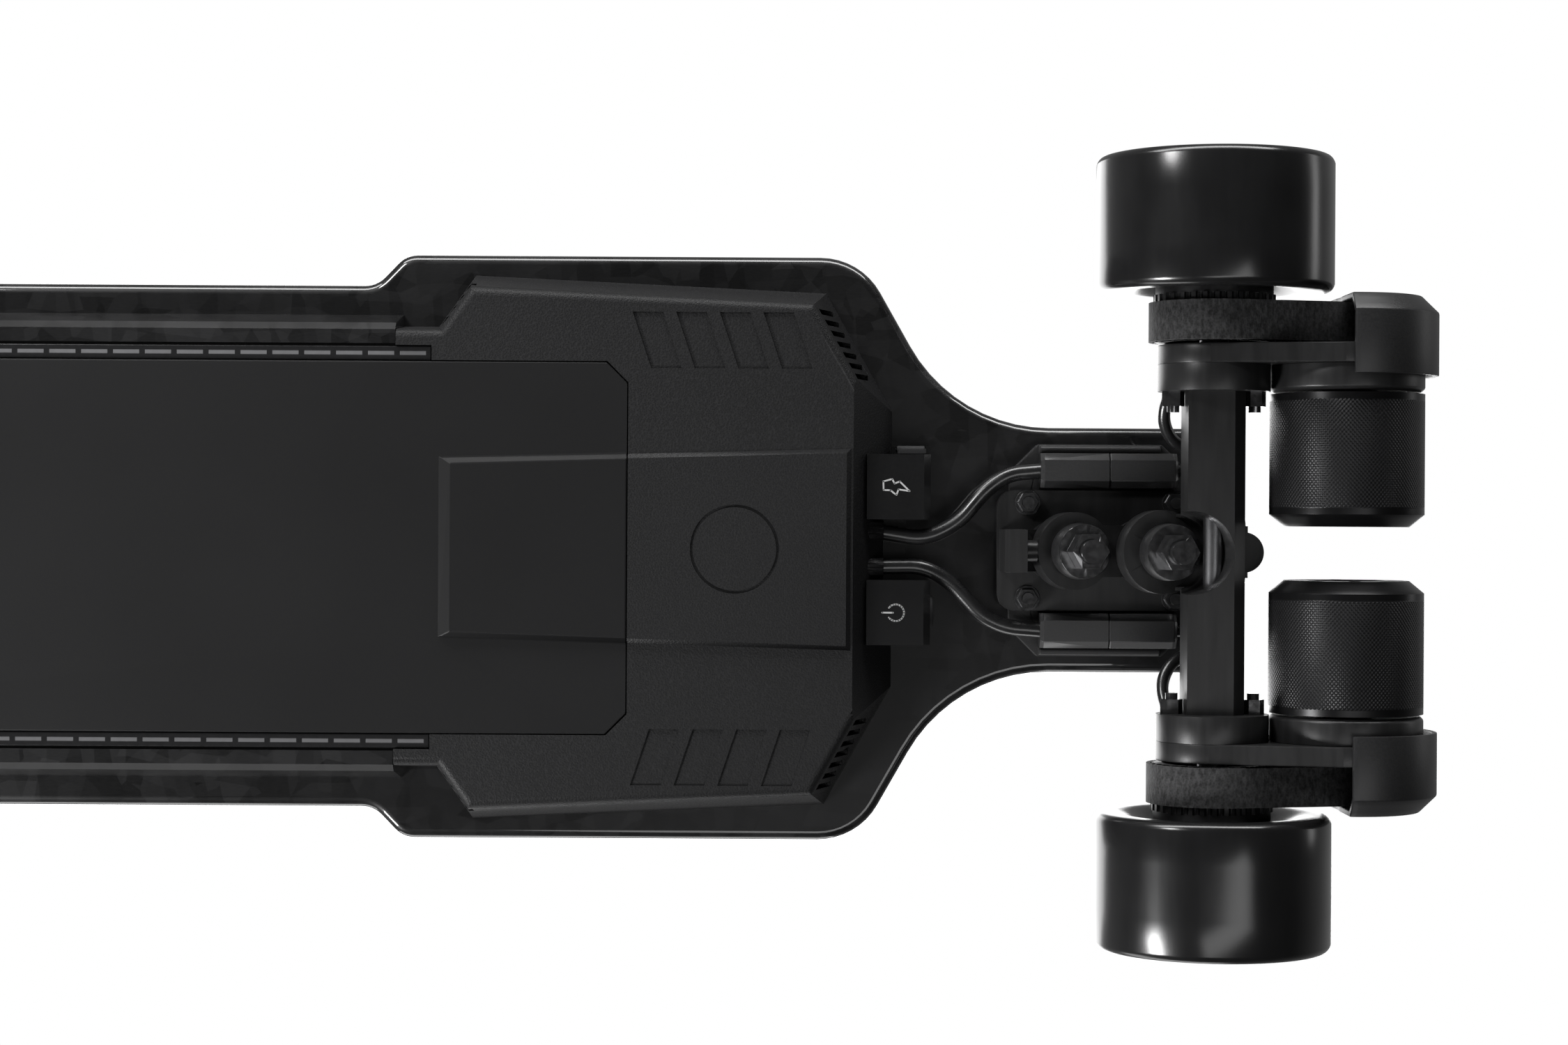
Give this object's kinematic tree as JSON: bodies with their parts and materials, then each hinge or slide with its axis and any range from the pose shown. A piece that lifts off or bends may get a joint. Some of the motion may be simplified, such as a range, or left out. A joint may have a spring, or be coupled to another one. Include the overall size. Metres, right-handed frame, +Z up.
{
  "type": "electric skateboard",
  "caption": "Electric longboard: carbon deck, underslung battery and controller, steering double-kingpin trucks and belt-driven rear wheels.",
  "frame": {"origin": "on the ground, below the middle of the whole board's length and width", "axes": "+X towards the nose, +Y towards the left side, +Z up"},
  "size_m": [1.0858, 0.324, 0.1392],
  "materials": {
    "carbon": "gloss, forged carbon",
    "grip": "rough grit",
    "lid_plastic": "fine matte",
    "cover_plastic": "fine grain",
    "lens": "smoked clear",
    "cell_wrap": "sleeved cells",
    "circuit_board": "circuit board",
    "heat_sink": "satin",
    "port_gloss": "gloss",
    "flap_rubber": "matte",
    "connector": "satin",
    "lead": "gloss sheath",
    "riser": "satin",
    "truck_metal": "black satin anodised",
    "black_steel": "black oxide",
    "bushing": "urethane",
    "axle_steel": "zinc",
    "tyre": "satin urethane",
    "core": "satin",
    "bearing": "polished",
    "pulley": "black anodised",
    "belt": "matte",
    "guard": "satin",
    "mount_metal": "black anodised",
    "motor_can": "knurled black"
  },
  "bodies": {
    "board": {"deck_shell": "carbon", "grip_sheet": "grip", "battery_lid": "lid_plastic", "controller_cover": "cover_plastic", "front_cover": "cover_plastic", "light_lenses": "lens", "battery_cells": "cell_wrap", "battery_board": "circuit_board", "motor_controller": "heat_sink", "port_block": "port_gloss", "charge_socket": "port_gloss", "lead_sockets": "connector", "lead_plugs": "connector", "left_controller_lead": "lead", "right_controller_lead": "lead", "truck_risers": "riser", "base_plates": "truck_metal", "truck_bolts": "black_steel", "truck_nuts": "black_steel", "inner_kingpins": "black_steel", "inner_kingpin_nuts": "black_steel", "front_inner_bushings": "bushing", "rear_inner_bushings": "bushing"},
    "charge_flap": {"charge_flap": "flap_rubber"},
    "power_button": {"power_button": "port_gloss"},
    "front_linkage": {"front_linkage": "truck_metal", "front_outer_kingpin": "black_steel", "front_outer_bushings": "bushing"},
    "rear_linkage": {"rear_linkage": "truck_metal", "rear_outer_kingpin": "black_steel", "rear_outer_bushings": "bushing"},
    "front_hanger": {"front_hanger": "truck_metal", "front_axle": "axle_steel"},
    "rear_hanger": {"rear_hanger": "truck_metal", "rear_axle": "axle_steel", "motor_mounts": "mount_metal", "mount_bolts": "black_steel", "drive_belts": "belt", "belt_guards": "guard", "motor_stators": "mount_metal", "left_motor_lead": "lead", "right_motor_lead": "lead"},
    "front_left_wheel": {"front_left_tyre": "tyre", "front_left_core": "core", "front_left_bearings": "bearing"},
    "front_right_wheel": {"front_right_tyre": "tyre", "front_right_core": "core", "front_right_bearings": "bearing"},
    "rear_left_wheel": {"rear_left_tyre": "tyre", "rear_left_core": "core", "rear_left_bearings": "bearing", "rear_left_pulley": "pulley"},
    "rear_right_wheel": {"rear_right_tyre": "tyre", "rear_right_core": "core", "rear_right_bearings": "bearing", "rear_right_pulley": "pulley"},
    "left_rotor": {"left_rotor": "motor_can", "left_motor_pulley": "pulley"},
    "right_rotor": {"right_rotor": "motor_can", "right_motor_pulley": "pulley"}
  },
  "joints": [
    {"name": "front_inner_tilt", "type": "hinge", "parent": "board", "child": "front_linkage", "pos_m": [0.44095, 0, 0.094], "axis": [0.9744, 0, 0.225], "range_deg": [-8, 8], "stiffness_Nm_per_rad": 90, "deforming": ["front_inner_bushings"]},
    {"name": "front_outer_tilt", "type": "hinge", "parent": "front_linkage", "child": "front_hanger", "pos_m": [0.47565, 0, 0.073], "axis": [0.9744, 0, 0.225], "range_deg": [-8, 8], "stiffness_Nm_per_rad": 90, "deforming": ["front_outer_bushings"]},
    {"name": "front_left_wheel_spin", "type": "hinge", "parent": "front_hanger", "child": "front_left_wheel", "pos_m": [0.49445, 0.13425, 0.0485], "axis": [0, 1, 0], "continuous": true},
    {"name": "front_right_wheel_spin", "type": "hinge", "parent": "front_hanger", "child": "front_right_wheel", "pos_m": [0.49445, -0.13425, 0.0485], "axis": [0, 1, 0], "continuous": true},
    {"name": "rear_inner_tilt", "type": "hinge", "parent": "board", "child": "rear_linkage", "pos_m": [-0.39805, 0, 0.094], "axis": [-0.9744, 0, 0.225], "range_deg": [-8, 8], "stiffness_Nm_per_rad": 90, "deforming": ["rear_inner_bushings"]},
    {"name": "rear_outer_tilt", "type": "hinge", "parent": "rear_linkage", "child": "rear_hanger", "pos_m": [-0.43275, 0, 0.073], "axis": [-0.9744, 0, 0.225], "range_deg": [-8, 8], "stiffness_Nm_per_rad": 90, "deforming": ["rear_outer_bushings", "left_motor_lead", "right_motor_lead"]},
    {"name": "rear_left_wheel_spin", "type": "hinge", "parent": "rear_hanger", "child": "rear_left_wheel", "pos_m": [-0.45155, 0.13425, 0.0485], "axis": [0, 1, 0], "continuous": true},
    {"name": "rear_right_wheel_spin", "type": "hinge", "parent": "rear_hanger", "child": "rear_right_wheel", "pos_m": [-0.45155, -0.13425, 0.0485], "axis": [0, 1, 0], "continuous": true},
    {"name": "left_rotor_spin", "type": "hinge", "parent": "rear_hanger", "child": "left_rotor", "pos_m": [-0.50615, 0.045, 0.0485], "axis": [0, 1, 0], "continuous": true},
    {"name": "right_rotor_spin", "type": "hinge", "parent": "rear_hanger", "child": "right_rotor", "pos_m": [-0.50615, -0.045, 0.0485], "axis": [0, 1, 0], "continuous": true},
    {"name": "power_button_press", "type": "slide", "parent": "board", "child": "power_button", "axis": [1, 0, 0], "range_m": [0, 0.0012], "stiffness_N_per_m": 500},
    {"name": "charge_flap_swing", "type": "hinge", "parent": "board", "child": "charge_flap", "pos_m": [-0.33055, 0.0432, 0.1229], "axis": [1, 0, 0], "range_deg": [0, 100]}
  ],
  "couplings": [
    {"joint": "left_rotor_spin", "follows": "rear_left_wheel_spin", "ratio": 2.1333},
    {"joint": "right_rotor_spin", "follows": "rear_right_wheel_spin", "ratio": 2.1333}
  ]
}
